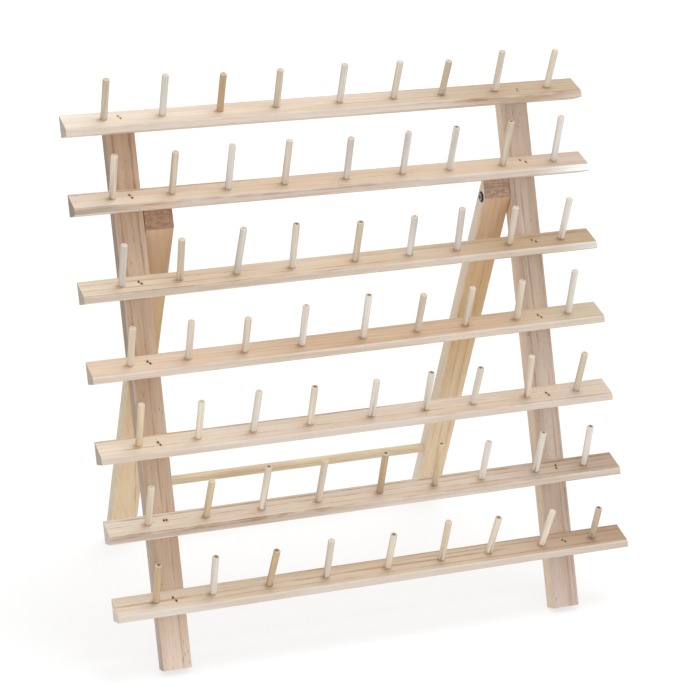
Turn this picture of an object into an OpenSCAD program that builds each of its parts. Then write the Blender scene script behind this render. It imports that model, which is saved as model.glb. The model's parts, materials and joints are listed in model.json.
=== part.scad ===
// Folding thread rack: seven pegged rails on two uprights, held up by a hinged pair of rear legs.
// Millimetres. X runs along the rails, Y towards the back, Z up. The rack stands open on Z = 0,
// with the origin under the middle of its bounding box.

/* [Rails] */
// Length of every rail
rail_l = 400; // [384:1:480]
// Depth of a rail from its back face to its front edge
rail_d = 16; // [14:0.5:20]
// Height of a rail at its back face
rail_h = 16.5; // [15:0.5:20]
// Height of a rail at its front edge
rail_front_h = 5; // [3.5:0.5:8]
// Even distance from one rail to the next
rail_pitch = 56.5; // [50:0.5:70]
// Even distance from the third rail from the top up to the second
wide_pitch = 61.5; // [50:0.5:75]
// Height of the lowest rail above the ends of the uprights
rail_foot = 40.5; // [25:0.5:70]
// Step by which some rails were nailed on higher, lower or askew
nail_step = 0.5; // [0:0.1:0.8]

/* [Pegs] */
// Pegs on every rail
peg_count = 9; // [6:1:11]
// Diameter of a peg
peg_d = 5; // [4:0.1:6]
// How far a peg of middling height stands out of its rail
peg_stand = 35; // [28:0.5:42]
// Step by which some pegs stand taller or shorter than others
peg_step = 1; // [0:0.25:2]
// Step by which some pegs lean to one side, in degrees
lean_step = 1; // [0:0.1:1]
// Step by which some pegs were drilled off their places along the rail
drill_step = 0.5; // [0:0.1:0.8]
// Depth of the socket that a peg's root is glued into
peg_socket = 7; // [5:0.5:8]
// How much less in radius the root has than the peg
root_step = 0.2; // [0.1:0.05:0.4]
// How far the root shows above the rail
root_show = 0.3; // [0.3:0.05:0.6]
// Chamfer round a peg's top
peg_ease = 0.5; // [0.1:0.1:1]
// Distance from a rail's left end to its first peg
first_peg = 30; // [22:0.5:34]
// Distance from a rail's right end to its last peg
last_peg = 26; // [18:0.5:34]
// How far the fifth and sixth pegs stand to the right of an even spacing
set_over = 5; // [0:0.5:8]

/* [Uprights and legs] */
// Width of the lath that the uprights and rear legs are cut from
lath_w = 21; // [17:0.5:26]
// Thickness of that lath
lath_t = 12.5; // [11:0.5:16]
// Chamfer along the edges of laths and rails
arris = 0.5; // [0.1:0.1:1]
// Distance from the rails' left ends to the left upright
left_inset = 32.5; // [29:0.5:48]
// Distance from the rails' right ends to the right upright
right_inset = 38.5; // [30:0.5:46]
// How far the uprights stop below the top of the highest rail
upright_drop = 1; // [0.5:0.5:4]

/* [Stand] */
// Angle between the uprights and the rear legs when open
open_angle = 41.5; // [32:0.5:50]
// How far the pivots lie below the second rail
pivot_drop = 11.5; // [9:0.5:13]
// How much shorter the rear legs are than the uprights below the pivots
leg_short = 1; // [0:0.5:20]
// Diameter of the cross dowel between the rear legs
dowel_d = 7.5; // [6:0.5:9]
// Height of the cross dowel above the ends of the rear legs
dowel_up = 55; // [30:1:140]
// Depth of the sockets that the cross dowel is glued into
dowel_socket = 10; // [6:0.5:14]

/* [Hardware] */
// Diameter of the pivot bolts
bolt_d = 5; // [4:0.5:6]
// Diameter of a bolt's domed head
head_d = 8.5; // [8:0.5:12]
// Height of a bolt's head
head_h = 1.5; // [1.25:0.25:4]
// Width across the flats of the hexagon socket in a bolt's head
key_w = 4; // [2.5:0.5:4]
// Depth of that socket
key_depth = 1.2; // [0.8:0.1:2]
// Outside diameter of the threaded inserts in the uprights
insert_d = 7; // [6.5:0.5:8]
// Length of the threaded inserts
insert_l = 12; // [8:0.5:16]
// How far a bolt's tip stops short of its insert's inner end
tip_gap = 1; // [0.5:0.5:3]
// Outside diameter of the washers between legs and uprights
washer_d = 10; // [8:0.5:11]
// Thickness of those washers
washer_t = 0.4; // [0.3:0.1:2]
// Diameter of the brads that hold the rails
brad_d = 1.4; // [1:0.1:1.6]
// Length of a brad
brad_l = 15; // [11:0.5:16]
// How far a brad's head is set below the rail's surface
brad_sink = 0.8; // [0.4:0.1:1.5]
// Step by which the brads were driven off the middle of their crossing
brad_step = 0.5; // [0.45:0.05:0.6]

/* [Clearances] */
// Room all round a piece that is glued or driven into its hole
set_clear = 0.02; // [0.01:0.01:0.05]
// Room all round a bolt in the leg that turns on it
run_clear = 0.05; // [0.02:0.01:0.1]
// Room at each side of a rear leg, to its washer and its bolt's head
side_clear = 0.2; // [0.1:0.1:0.5]
// Room between the rails' backs and the rear legs, open against their stop or folded
back_clear = 0.3; // [0.2:0.1:0.6]

/* [Hidden] */
$fn = 48;

// Rails are counted from the top, and the wide pitch lies below the second one
rail_count = 7;
stop_rail = 2;
rows = [1 : rail_count];
sides = [-1, 1];

// Rails off the even spacing, top one first: steps of height, steps that the right end lies above the left
rail_off = [[-2, 0], [-1, 0], [1, 6], [1, 6], [-2, 1], [-2, 0], [0, -1]];
// Pegs from left to right, rail by rail from the top: steps that each stands above the middling height
peg_steps = [
    [-3, -3, -5, -5, -4, -5, -7, -2, -4],
    [0, -1, 1, 1, -1, 0, 1, 2, 3],
    [-1, -1, 3, 2, -2, -2, 1, -3, 0],
    [-3, -3, -6, -1, 2, -3, -2, -1, 3],
    [1, -3, 0, -2, -3, -2, -3, 2, -1],
    [-2, -3, 3, 2, 1, 3, -1, 1, 1],
    [-1, -1, -3, -1, -4, 1, -2, -3, -7]
];
// The same pegs: steps that each leans to the right
peg_leans = [
    [0, 0, 0, 0, 1, 3, 5, 2, 4],
    [-1, 0, 0, 0, -1, 0, 1, 2, -1],
    [0, -2, 4, -1, 1, 0, -2, 0, 2],
    [0, 0, 0, 0, 0, 2, 2, -2, -2],
    [-1, 0, 2, 0, 0, 0, 3, -5, 2],
    [0, 4, 3, 2, 0, 0, 1, 0, -3],
    [-1, -2, 6, 0, 2, 1, 6, 8, 1]
];
// The same pegs: steps that each stands to the right of its place
peg_shifts = [
    [0, 0, 0, 0, 2, 1, 2, 3, 3],
    [0, 2, 0, 0, 0, 3, 2, 3, 2],
    [0, 0, -1, -2, 0, 0, 1, 1, 1],
    [0, 0, -1, 0, 0, 0, 2, 0, 0],
    [0, 2, -1, 0, 0, 0, 1, 4, 0],
    [1, 1, -1, 0, 0, 1, 2, 5, 0],
    [0, -1, -2, 0, 0, 0, 1, 2, 1]
];
// The two brads at each rail's left crossing, then at its right one: steps to the right and to the back
brad_steps = [
    [[[-2, -1], [-4, 4]], [[-1, -1], [-3, -6]]],
    [[[0, 3], [2, -3]], [[-5, 6], [2, 1]]],
    [[[3, -1], [0, 3]], [[-1, 2], [4, -2]]],
    [[[3, -2], [0, 2]], [[-4, 1], [-1, -4]]],
    [[[4, -5], [2, 0]], [[-4, 1], [-2, -4]]],
    [[[-1, 2], [3, 2]], [[-1, -1], [1, 4]]],
    [[[0, 2], [3, -4]], [[-2, 1], [1, -2]]]
];

rail_color = [0.91, 0.83, 0.72];
upright_color = [0.80, 0.68, 0.58];
leg_color = [0.84, 0.71, 0.52];
peg_color = [0.85, 0.78, 0.66];
dowel_color = [0.82, 0.71, 0.55];
brad_color = [0.30, 0.22, 0.16];
bolt_color = [0.12, 0.12, 0.13];
insert_color = [0.72, 0.60, 0.33];
washer_color = [0.62, 0.62, 0.63];

// A cut that has to run clear of a surface goes this far past it
over = 2;

// Height of the middle of a rail's underside on the uprights, and the angle that the rail lies askew
function rail_z(row) =
    rail_foot + (rail_count - row) * rail_pitch + (row <= stop_rail ? wide_pitch - rail_pitch : 0)
    + nail_step * rail_off[row - 1][0];
function rail_tilt(row) = asin(nail_step * rail_off[row - 1][1] / rail_l);

rail_slope = atan2(rail_h - rail_front_h, rail_d);
rail_mid_h = (rail_h + rail_front_h) / 2;
root_r = peg_d / 2 - root_step;
peg_pitch = (rail_l - first_peg - last_peg) / (peg_count - 1);
upright_l = rail_z(1) + rail_h - upright_drop;

// The pivots lie behind the middle of the lath, so that the folded legs clear the rails
pivot_y = lath_t / 2 + back_clear;
pivot_z = rail_z(stop_rail) - pivot_drop;
leg_l = pivot_z - leg_short;
dowel_z = dowel_up - leg_l;

// The uprights stand on the back edges of their ends, and the rear legs on the front edges of theirs
toe_y = pivot_y - lath_t / 2 * cos(open_angle) + leg_l * sin(open_angle);
toe_z = pivot_z - lath_t / 2 * sin(open_angle) - leg_l * cos(open_angle);
lean = atan2(toe_z, toe_y - lath_t);
lift = lath_t * sin(lean);

// Depth of the standing rack: from the foremost corner to the back edges of the rear legs' ends
heel_y = toe_y + lath_t * cos(open_angle);
heel_z = toe_z + lath_t * sin(open_angle);
low_tilt = rail_tilt(rail_count);
function depth_of(y, z) = y * cos(lean) + z * sin(lean);
function tip_depth(place) =
    let (reach = peg_out(rail_count, place) - peg_ease)
    let (tip_y = -rail_d / 2 - reach * sin(rail_slope) - peg_d / 2 * cos(rail_slope))
    let (tip_up = reach * cos(rail_slope) - peg_d / 2 * sin(rail_slope))
    let (peg_z = rail_z(rail_count) + rail_mid_h + peg_x(rail_count, place) * sin(low_tilt))
    depth_of(tip_y, peg_z + tip_up * cos(peg_lean(rail_count, place) - low_tilt));
edge_depth = depth_of(-rail_d, rail_z(rail_count) + arris - rail_l / 2 * abs(sin(low_tilt)));
foremost = min(0, edge_depth, min([for (place = [1 : peg_count]) tip_depth(place)]));
middle = (foremost + depth_of(heel_y, heel_z)) / 2;

// Places along X, with -1 for the left side and 1 for the right
function upright_x(side) =
    side * (rail_l / 2 - lath_w / 2 - (side < 0 ? left_inset : right_inset));
function inner_x(side) = upright_x(side) - side * lath_w / 2;
function leg_x(side) = inner_x(side) - side * (washer_t + side_clear + lath_w / 2);
function leg_inner_x(side) = leg_x(side) - side * lath_w / 2;

// A peg beyond the listed ones stands straight, at the middling height
function own(list, row, place) = place <= len(list[row - 1]) ? list[row - 1][place - 1] : 0;
function peg_x(row, place) =
    -rail_l / 2 + first_peg + (place - 1) * peg_pitch + (place == 5 || place == 6 ? set_over : 0)
    + drill_step * own(peg_shifts, row, place);
function peg_lean(row, place) = lean_step * own(peg_leans, row, place);
function peg_out(row, place) = peg_stand + peg_step * own(peg_steps, row, place);

// An outline with each corner cut off by the chamfer c
function toward(a, b) = (b - a) / norm(b - a);
function chamfered(outline, c) =
    let (n = len(outline))
    [for (i = [0 : n - 1]) each [
        outline[i] + c * toward(outline[i], outline[(i + n - 1) % n]),
        outline[i] + c * toward(outline[i], outline[(i + 1) % n])
    ]];

// From the uprights' own frame, where they stand plumb with their front faces on Y = 0, to the open rack
module in_front_frame() {
    translate([0, -middle, lift]) rotate([-lean, 0, 0]) children();
}

// From the rear legs' own frame, with the pivots on X and the legs hanging down, to the open rack
module in_rear_frame() {
    in_front_frame() translate([0, pivot_y, pivot_z]) rotate([open_angle, 0, 0]) children();
}

// From a rail's own frame, level on the middle of its underside's back edge, to the uprights' frame
module in_rail(row) {
    translate([0, 0, rail_z(row) + rail_h / 2]) rotate([0, -rail_tilt(row), 0])
        translate([0, 0, -rail_h / 2]) children();
}

module at_peg(row, place) {
    in_rail(row) translate([peg_x(row, place), -rail_d / 2, rail_mid_h])
        rotate([rail_slope, peg_lean(row, place), 0]) children();
}

// A brad runs along Y, square to the upright, from the rail's sloping top
module at_brad(row, side, which) {
    off = brad_step * brad_steps[row - 1][side < 0 ? 0 : 1][which];
    brad_z = rail_mid_h + off[1] * tan(rail_slope);
    in_rail(row) translate([upright_x(side) + off[0], off[1] - rail_d / 2, brad_z])
        rotate([-90, 0, 0]) children();
}

// A pivot's axis runs along Z here, outwards from the inner face of the upright
module at_pivot(side) {
    translate([inner_x(side), pivot_y, pivot_z]) rotate([0, side * 90, 0]) children();
}

module along_x(length) {
    rotate([90, 0, 90]) translate([0, 0, -length / 2]) linear_extrude(length) children();
}

module lath(from_z, to_z) {
    outline = [[-lath_w, -lath_t], [lath_w, -lath_t], [lath_w, lath_t], [-lath_w, lath_t]] / 2;
    translate([0, 0, from_z]) linear_extrude(to_z - from_z) polygon(chamfered(outline, arris));
}

module brad_hole(row, side, which) {
    at_brad(row, side, which) translate([0, 0, -rail_d])
        cylinder(d = brad_d + 2 * set_clear, h = rail_d + brad_sink + brad_l + set_clear);
}

module rail(row) {
    outline = [[0, 0], [-rail_d, 0], [-rail_d, rail_front_h], [0, rail_h]];
    color(rail_color) in_front_frame() difference() {
        in_rail(row) along_x(rail_l) polygon(chamfered(outline, arris));
        for (place = [1 : peg_count])
            at_peg(row, place) translate([0, 0, -peg_socket - set_clear])
                cylinder(r = root_r + set_clear, h = peg_socket + set_clear + over);
        for (side = sides, which = [0, 1]) brad_hole(row, side, which);
    }
}

module peg(out) {
    profile = [
        [0, -peg_socket], [root_r, -peg_socket], [root_r, root_show], [peg_d / 2, root_show],
        [peg_d / 2, out - peg_ease], [peg_d / 2 - peg_ease, out], [0, out]
    ];
    rotate_extrude() polygon(profile);
}

module pegs_row(row) {
    color(peg_color) in_front_frame()
        for (place = [1 : peg_count]) at_peg(row, place) peg(peg_out(row, place));
}

module brads_row(row) {
    color(brad_color) in_front_frame()
        for (side = sides, which = [0, 1])
            at_brad(row, side, which) translate([0, 0, brad_sink]) cylinder(d = brad_d, h = brad_l);
}

module upright(side) {
    color(upright_color) in_front_frame() difference() {
        translate([upright_x(side), lath_t / 2, 0]) lath(0, upright_l);
        for (row = rows, which = [0, 1]) brad_hole(row, side, which);
        at_pivot(side) translate([0, 0, -over]) cylinder(d = insert_d + 2 * set_clear, h = insert_l + over);
    }
}

// The leg's top is mitred to lie along the backs of the rails when the rack is open
module rear_leg(side) {
    mitre_reach = (pivot_y + lath_t) / sin(open_angle);
    color(leg_color) in_rear_frame() difference() {
        translate([leg_x(side), 0, 0]) lath(-leg_l, mitre_reach);
        rotate([-open_angle, 0, 0])
            translate([leg_x(side) - lath_w, back_clear - pivot_y - 2 * mitre_reach, -2 * mitre_reach])
                cube([2 * lath_w, 2 * mitre_reach, 4 * mitre_reach]);
        translate([leg_x(side), 0, 0]) rotate([0, 90, 0])
            cylinder(d = bolt_d + 2 * run_clear, h = lath_w + 2 * over, center = true);
        translate([leg_inner_x(side), 0, dowel_z]) rotate([0, side * 90, 0]) translate([0, 0, -over])
            cylinder(d = dowel_d + 2 * set_clear, h = dowel_socket + set_clear + over);
    }
}

module cross_dowel() {
    from_x = leg_inner_x(-1) - dowel_socket;
    to_x = leg_inner_x(1) + dowel_socket;
    color(dowel_color) in_rear_frame()
        translate([from_x, 0, dowel_z]) rotate([0, 90, 0]) cylinder(d = dowel_d, h = to_x - from_x);
}

// Domed head with a hexagon socket, and a plain shank that reaches through the leg into the insert
module pivot_bolt(side) {
    head_z = washer_t + 2 * side_clear + lath_w;
    dome_r = (pow(head_d / 2, 2) + pow(head_h, 2)) / (2 * head_h);
    tip_z = insert_l - tip_gap;
    color(bolt_color) in_front_frame() at_pivot(side) difference() {
        union() {
            translate([0, 0, -head_z]) cylinder(d = bolt_d, h = head_z + tip_z);
            translate([0, 0, -head_z - head_h]) intersection() {
                cylinder(d = head_d, h = head_h);
                translate([0, 0, dome_r]) sphere(dome_r);
            }
        }
        translate([0, 0, -head_z - head_h - over])
            cylinder(d = key_w / cos(30), h = key_depth + over, $fn = 6);
    }
}

module pivot_washer(side) {
    color(washer_color) in_front_frame() at_pivot(side) translate([0, 0, -washer_t]) difference() {
        cylinder(d = washer_d, h = washer_t);
        translate([0, 0, -over]) cylinder(d = bolt_d + 2 * run_clear, h = washer_t + 2 * over);
    }
}

module threaded_insert(side) {
    color(insert_color) in_front_frame() at_pivot(side) difference() {
        cylinder(d = insert_d, h = insert_l);
        translate([0, 0, -over]) cylinder(d = bolt_d + 2 * set_clear, h = insert_l + 2 * over);
    }
}

upright(-1);  // upright_left
upright(1);  // upright_right
for (row = rows) {
    rail(row);
    pegs_row(row);
    brads_row(row);
}
rear_leg(-1);  // rear_leg_left
rear_leg(1);  // rear_leg_right
cross_dowel();
pivot_bolt(-1);  // pivot_bolt_left
pivot_bolt(1);  // pivot_bolt_right
pivot_washer(-1);  // pivot_washer_left
pivot_washer(1);  // pivot_washer_right
threaded_insert(-1);  // threaded_insert_left
threaded_insert(1);  // threaded_insert_right
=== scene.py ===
import bmesh
import bpy
import json
import math
from mathutils import Matrix, Vector


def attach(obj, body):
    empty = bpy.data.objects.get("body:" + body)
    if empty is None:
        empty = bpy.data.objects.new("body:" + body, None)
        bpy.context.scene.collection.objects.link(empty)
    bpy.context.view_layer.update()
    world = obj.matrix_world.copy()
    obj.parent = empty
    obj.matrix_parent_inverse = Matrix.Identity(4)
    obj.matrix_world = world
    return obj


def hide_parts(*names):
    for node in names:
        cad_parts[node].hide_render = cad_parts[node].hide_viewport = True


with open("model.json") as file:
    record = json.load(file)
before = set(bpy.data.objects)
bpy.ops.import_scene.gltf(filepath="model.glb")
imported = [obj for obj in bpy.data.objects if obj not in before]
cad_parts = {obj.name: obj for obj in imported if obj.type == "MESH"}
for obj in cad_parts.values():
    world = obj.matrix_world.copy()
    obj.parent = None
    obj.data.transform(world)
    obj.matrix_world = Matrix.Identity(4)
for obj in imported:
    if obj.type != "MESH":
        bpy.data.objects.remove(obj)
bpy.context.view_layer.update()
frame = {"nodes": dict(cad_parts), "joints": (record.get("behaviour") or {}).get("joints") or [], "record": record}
nodes = frame["nodes"]
mounts = {mount["name"]: mount for mount in frame["record"]["mounts"]}
hinge = frame["joints"][0]
rowNumbers = range(1, 8)  # counted from the top rail
print("frame loaded:", len(nodes), "nodes")

# how the rack stands, read from the frame: the uprights' lean, the legs' spread and the pegs' tilt
uprightBack = Vector(mounts["upright_back_left"]["axis"])
lean = math.atan2(-uprightBack.z, uprightBack.y)
spread = math.radians(hinge["range_deg"][1])
pegAxis = Vector(next(mount["axis"] for mount in mounts.values() if mount["kind"] == "pin"))
alongUp = Matrix(((0, 1, 0), (0, 0, 1), (1, 0, 0)))  # a stick's X goes up, its Y across, its Z to the back
railTurn = Matrix.Rotation(-lean, 3, "X")
uprightTurn = railTurn @ alongUp
legTurn = Matrix.Rotation(spread - lean, 3, "X") @ alongUp

plainWhite = (1, 1, 1, 1)
dropX = (0, 1, 1)  # multiplied with a place, leaves what lies across the stick
mergeReach = 1e-6  # vertices closer than this are one
noiseMean = 0.5


def linear(red, green, blue):  # colours are written as 0 to 255, the way a paint program shows them
    def channel(value):  # the sRGB curve
        value = value / 255
        return value / 12.92 if value <= 0.04045 else ((value + 0.055) / 1.055) ** 2.4
    return (channel(red), channel(green), channel(blue), 1.0)


# camera at the photo's angle

photoCamera = {
    "place": (-0.5789, -1.4971, 0.8020),
    "aim": (0.0115, -0.0086, 0.1894),
    "rollDegrees": 1.54,  # the picture's right side tips up this much
    "lens": 117.3,
    "sensor": 36.0,
    "clip": (0.01, 50),
}


def placeCamera(setup):
    lensData = bpy.data.cameras.new("photoCamera")
    lensData.lens = setup["lens"]
    lensData.sensor_width = setup["sensor"]
    lensData.clip_start, lensData.clip_end = setup["clip"]
    camera = bpy.data.objects.new("photoCamera", lensData)
    forward = (Vector(setup["aim"]) - Vector(setup["place"])).normalized()
    turn = forward.to_track_quat("-Z", "Y").to_matrix()
    turn = turn @ Matrix.Rotation(math.radians(setup["rollDegrees"]), 3, "Z")
    camera.matrix_world = Matrix.Translation(setup["place"]) @ turn.to_4x4()
    bpy.context.scene.collection.objects.link(camera)
    bpy.context.scene.camera = camera


placeCamera(photoCamera)
print("camera placed")


# small helpers for meshes

def shells(shape):  # the separate shells of a shape, from left to right, each a list in a fixed order
    left = set(shape.verts)
    found = []
    for first in shape.verts:
        if first not in left:
            continue
        left.remove(first)
        shell = [first]
        for vertex in shell:  # the list grows while it is walked
            for other in (link.other_vert(vertex) for link in vertex.link_edges):
                if other in left:
                    left.remove(other)
                    shell.append(other)
        found.append(shell)
    return sorted(found, key=lambda shell: sum(vertex.co.x for vertex in shell) / len(shell))


def middle(vertices):
    return sum((vertex.co for vertex in vertices), Vector()) / len(vertices)


def shellMiddles(mesh):  # the middle of every separate shell in a mesh, from left to right
    shape = bmesh.new()
    shape.from_mesh(mesh)
    bmesh.ops.remove_doubles(shape, verts=shape.verts, dist=mergeReach)
    glueShadowSpots = [middle(shell) for shell in shells(shape)]
    shape.free()
    return glueShadowSpots


# small helpers for shader trees

def addNode(tree, kind, values=None, **settings):
    made = tree.nodes.new(kind)
    for name, value in settings.items():
        setattr(made, name, value)
    for name, value in (values or {}).items():
        made.inputs[name].default_value = value
    return made


def feed(tree, source, target):
    if isinstance(source, bpy.types.NodeSocket):
        tree.links.new(source, target)
    else:
        target.default_value = source


def calc(tree, operation, first, second=0.0, third=0.0):
    made = addNode(tree, "ShaderNodeMath", operation=operation)
    for socket, value in zip(made.inputs, (first, second, third)):
        feed(tree, value, socket)
    return made.outputs[0]


def vectorCalc(tree, operation, first, second=(0, 0, 0)):
    made = addNode(tree, "ShaderNodeVectorMath", operation=operation)
    feed(tree, first, made.inputs[0])
    feed(tree, second, made.inputs["Scale" if operation == "SCALE" else 1])
    return made.outputs["Value" if operation in ("DOT_PRODUCT", "LENGTH") else "Vector"]


def takeX(tree, vector):
    made = addNode(tree, "ShaderNodeSeparateXYZ")
    feed(tree, vector, made.inputs[0])
    return made.outputs["X"]


def fade(tree, value, low, high, start=0.0, end=1.0):
    made = addNode(tree, "ShaderNodeMapRange", interpolation_type="SMOOTHSTEP")
    feed(tree, value, made.inputs["Value"])
    for name, number in (("From Min", low), ("From Max", high), ("To Min", start), ("To Max", end)):
        feed(tree, number, made.inputs[name])
    return made.outputs["Result"]


def blendColour(tree, amount, under, over, mode="MIX"):  # a Mix node's colours are sockets 6, 7 and 2
    made = addNode(tree, "ShaderNodeMix", data_type="RGBA", blend_type=mode)
    feed(tree, amount, made.inputs[0])
    feed(tree, under, made.inputs[6])
    feed(tree, over, made.inputs[7])
    return made.outputs[2]


def tint(tree, mask, amount, colour, tone, mode="MIX"):
    return blendColour(tree, calc(tree, "MULTIPLY", mask, amount), colour, linear(*tone), mode)


def noise(tree, vector, setup):  # drawn out along an axis where its stretch is below 1
    made = addNode(tree, "ShaderNodeTexNoise", {
        "Scale": setup["scale"], "Detail": setup["detail"], "Roughness": setup["rough"]})
    feed(tree, vectorCalc(tree, "MULTIPLY", vector, setup["stretch"]), made.inputs["Vector"])
    return made


def fadedNoise(tree, vector, setup):
    return fade(tree, noise(tree, vector, setup).outputs["Fac"], *setup["limits"])


def newGroup(name, inputs, outputs):
    group = bpy.data.node_groups.new(name, "ShaderNodeTree")
    for label, kind, value in inputs:
        socket = group.interface.new_socket(label, in_out="INPUT", socket_type="NodeSocket" + kind)
        if value is not None:
            socket.default_value = value
    for label in outputs:
        group.interface.new_socket(label, in_out="OUTPUT", socket_type="NodeSocketFloat")
    return group, group.nodes.new("NodeGroupInput"), group.nodes.new("NodeGroupOutput")


def useGroup(tree, group, values):
    made = addNode(tree, "ShaderNodeGroup", node_tree=group)
    for name, value in values.items():
        feed(tree, value, made.inputs[name])
    return made


# effects that several finishes share; what goes to fade is low, high and, if not 0 and 1, the values there

boardMarks = {
    "warp": {"stretch": (0.2, 1, 1), "scale": 26, "detail": 2.0, "rough": 0.5},
    "patchy": {
        "stretch": (0.2, 1, 1), "scale": 60, "detail": 2.0, "rough": 0.5, "limits": (0.3, 0.65, 0.3, 1.0)},
    "Fibre": {"stretch": (0.03, 1, 1), "scale": 1100, "detail": 3.0, "rough": 0.6, "limits": (0.36, 0.66)},
    "Streak": {"stretch": (0.06, 1, 1), "scale": 110, "detail": 3.0, "rough": 0.55, "limits": (0.42, 0.68)},
    "Fleck": {"stretch": (0.18, 1, 1), "scale": 900, "detail": 1.0, "rough": 0.5, "limits": (0.66, 0.78)},
    "Cloud": {"stretch": (0.35, 1, 1), "scale": 30, "detail": 3.0, "rough": 0.5, "limits": (0.36, 0.66)},
}
yearRings = {
    "rise": (0.35, 0.88),  # late wood darkens slowly within a ring
    "fall": (0.9, 1.0, 1.0, 0.0),  # and ends sharply
    "power": 1.6,  # most years are faint
    "span": (0.85, 0.15),  # what a strong year adds, and what every year has
}


def makeBoardGrain():  # a board cut from a round trunk: X runs along the grain, the pith lies to one side
    group, given, result = newGroup("boardGrain", [
        ("Vector", "Vector", None), ("Offset", "Vector", (0, 0, 0)), ("Pith", "Vector", (0, 0.03, 0.02)),
        ("Slant", "Vector", (0, 0, 0)), ("Ring Gap", "Float", 0.0024), ("Wobble", "Float", 0.004)],
        ["Rings", "Fibre", "Streak", "Fleck", "Cloud"])
    vector = given.outputs["Vector"]
    shifted = vectorCalc(group, "ADD", vector, given.outputs["Offset"])
    warp = noise(group, shifted, boardMarks["warp"]).outputs["Color"]
    warp = vectorCalc(group, "SUBTRACT", warp, (noiseMean, noiseMean, noiseMean))
    warp = vectorCalc(group, "SCALE", warp, given.outputs["Wobble"])
    leaning = vectorCalc(group, "SCALE", given.outputs["Slant"], takeX(group, vector))
    place = vectorCalc(group, "ADD", vectorCalc(group, "ADD", vector, warp), leaning)
    place = vectorCalc(group, "SUBTRACT", place, given.outputs["Pith"])
    radius = vectorCalc(group, "LENGTH", vectorCalc(group, "MULTIPLY", place, dropX))
    turns = calc(group, "DIVIDE", radius, given.outputs["Ring Gap"])
    within = calc(group, "FRACT", turns)
    rise = fade(group, within, *yearRings["rise"])
    late = calc(group, "MULTIPLY", rise, fade(group, within, *yearRings["fall"]))
    year = addNode(group, "ShaderNodeTexWhiteNoise", noise_dimensions="1D")
    feed(group, calc(group, "FLOOR", turns), year.inputs["W"])
    strength = calc(group, "POWER", year.outputs["Value"], yearRings["power"])
    strength = calc(group, "MULTIPLY_ADD", strength, *yearRings["span"])
    rings = calc(group, "MULTIPLY", late, strength)
    rings = calc(group, "MULTIPLY", rings, fadedNoise(group, shifted, boardMarks["patchy"]))
    feed(group, rings, result.inputs["Rings"])
    for label in ("Fibre", "Streak", "Fleck", "Cloud"):
        feed(group, fadedNoise(group, shifted, boardMarks[label]), result.inputs[label])
    return group


def makeFaceMask():  # 1 where the surface faces along the axis: either way, or only towards it
    group, given, result = newGroup("faceMask", [
        ("Normal", "Vector", None), ("Axis", "Vector", (1, 0, 0)),
        ("Low", "Float", 0.3), ("High", "Float", 0.6)], ["Facing", "Toward"])
    facing = vectorCalc(group, "DOT_PRODUCT", given.outputs["Normal"], given.outputs["Axis"])
    low, high = given.outputs["Low"], given.outputs["High"]
    feed(group, fade(group, calc(group, "ABSOLUTE", facing), low, high), result.inputs["Facing"])
    feed(group, fade(group, facing, low, high), result.inputs["Toward"])
    return group


lineShape = {
    "wander": {"stretch": (1, 0.1, 0.1), "scale": 14, "detail": 1.0, "rough": 0.5},
    "bend": 0.002,  # how far it wanders to and fro
    "breaks": {"stretch": (1, 4, 4), "scale": 45, "detail": 3.0, "rough": 0.65},
    "widths": (0.25, 0.7, 0.5, 1.6),  # the line swells and thins with the breaks
    "gaps": (0.3, 0.6, 0.35, 1.0),  # and pales with them
    "edge": (0.15, 1.0, 1.0, 0.0),
    "endFade": 0.012,
}


def makeGrainLine():  # one dark line of late wood along a stick, at a place measured along Across
    group, given, result = newGroup("grainLine", [
        ("Vector", "Vector", None), ("Offset", "Vector", (0, 0, 0)), ("Across", "Vector", (0, 1, 0)),
        ("Place", "Float", 0.0), ("Width", "Float", 0.0006), ("Drift", "Float", 0.0),
        ("Start", "Float", -0.3), ("Stop", "Float", 0.3)], ["Line"])
    vector = given.outputs["Vector"]
    along = takeX(group, vector)
    shifted = vectorCalc(group, "ADD", vector, given.outputs["Offset"])
    wander = noise(group, shifted, lineShape["wander"]).outputs["Fac"]
    wander = calc(group, "MULTIPLY", calc(group, "SUBTRACT", wander, noiseMean), lineShape["bend"])
    place = vectorCalc(group, "DOT_PRODUCT", vector, given.outputs["Across"])
    place = calc(group, "SUBTRACT", calc(group, "ADD", place, wander), given.outputs["Place"])
    place = calc(group, "MULTIPLY_ADD", along, given.outputs["Drift"], place)
    breaks = noise(group, shifted, lineShape["breaks"]).outputs["Fac"]
    width = calc(group, "MULTIPLY", given.outputs["Width"], fade(group, breaks, *lineShape["widths"]))
    away = calc(group, "DIVIDE", calc(group, "ABSOLUTE", place), width)
    line = fade(group, away, *lineShape["edge"])
    line = calc(group, "MULTIPLY", line, fade(group, breaks, *lineShape["gaps"]))
    past = calc(group, "SUBTRACT", along, given.outputs["Start"])
    left = calc(group, "SUBTRACT", given.outputs["Stop"], along)
    for reach in (past, left):
        shown = fade(group, reach, -lineShape["endFade"], lineShape["endFade"])
        line = calc(group, "MULTIPLY", line, shown)
    feed(group, line, result.inputs["Line"])
    return group


crosscutMarks = {
    "Pores": {"stretch": (1, 1, 1), "scale": 800, "detail": 2.0, "rough": 0.6, "limits": (0.4, 0.68)},
    "Saw": {"stretch": (0.4, 0.2, 1), "scale": 700, "detail": 2.0, "rough": 0.5, "limits": (0.4, 0.62)},
}


def makeEndPores():  # the open pores and saw marks of a crosscut face
    group, given, result = newGroup("endPores", [
        ("Vector", "Vector", None), ("Offset", "Vector", (0, 0, 0))], list(crosscutMarks))
    shifted = vectorCalc(group, "ADD", given.outputs["Vector"], given.outputs["Offset"])
    for label, setup in crosscutMarks.items():
        feed(group, fadedNoise(group, shifted, setup), result.inputs[label])
    return group


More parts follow.
